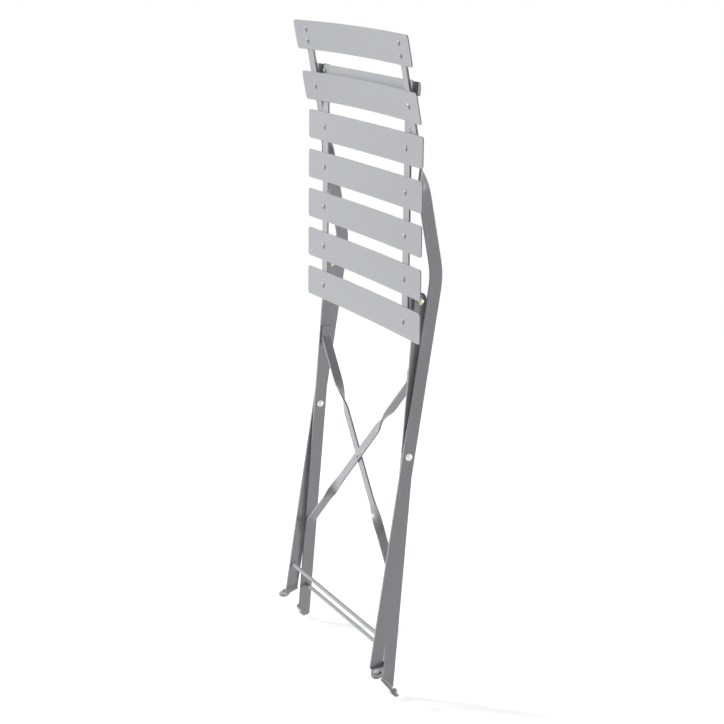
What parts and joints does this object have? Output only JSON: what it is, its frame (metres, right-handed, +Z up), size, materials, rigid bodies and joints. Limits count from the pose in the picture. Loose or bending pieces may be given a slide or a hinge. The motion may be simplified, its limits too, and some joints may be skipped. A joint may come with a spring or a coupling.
{
  "type": "folding garden chair",
  "caption": "Slatted steel folding garden chair on flat-bar legs with crossed rear braces, shown folded flat; the legs scissor open and the seat drops level.",
  "frame": {"origin": "middle of the folded chair's width and depth, at the level of its lowest point", "axes": "+Z up along the folded chair, +X to the right along the slats, +Y to the back"},
  "size_m": [0.392, 0.1026, 0.9137],
  "materials": {
    "grey_paint": "satin",
    "bright_rivet": "polished",
    "brass_rivet": "satin",
    "zinc_washer": "satin",
    "glide_plastic": "matte"
  },
  "bodies": {
    "back_frame": {"long_bar_left": "grey_paint", "long_bar_right": "grey_paint", "back_slat_top": "grey_paint", "back_slat_lower": "grey_paint", "back_rivets": "grey_paint", "front_rod": "grey_paint", "front_glide_left": "glide_plastic", "front_glide_right": "glide_plastic", "leg_pivot_left": "bright_rivet", "leg_pivot_right": "bright_rivet", "pivot_washer_left": "zinc_washer", "pivot_washer_right": "zinc_washer"},
    "rear_frame": {"rear_leg_left": "grey_paint", "rear_leg_right": "grey_paint", "brace_strap_front": "grey_paint", "brace_strap_rear": "grey_paint", "brace_rivet": "grey_paint", "rear_rod": "grey_paint", "rear_glide_left": "glide_plastic", "rear_glide_right": "glide_plastic"},
    "seat": {"seat_rail_left": "grey_paint", "seat_rail_right": "grey_paint", "seat_slat_1": "grey_paint", "seat_slat_2": "grey_paint", "seat_slat_3": "grey_paint", "seat_slat_4": "grey_paint", "seat_slat_5": "grey_paint", "seat_rear_bar": "grey_paint", "hinge_ear_left": "grey_paint", "hinge_ear_right": "grey_paint", "seat_rivets": "grey_paint", "seat_pivot_left": "brass_rivet", "seat_pivot_right": "brass_rivet"}
  },
  "joints": [
    {"name": "leg_fold", "type": "hinge", "parent": "back_frame", "child": "rear_frame", "pos_m": [0, 0.00656, 0.34363], "axis": [1, 0, 0], "range_deg": [0, 68]},
    {"name": "seat_fold", "type": "hinge", "parent": "rear_frame", "child": "seat", "pos_m": [0, 0.02245, 0.55754], "axis": [1, 0, 0], "range_deg": [-132, 0]}
  ],
  "couplings": [
    {"joint": "seat_fold", "follows": "leg_fold", "ratio": -1.94}
  ]
}
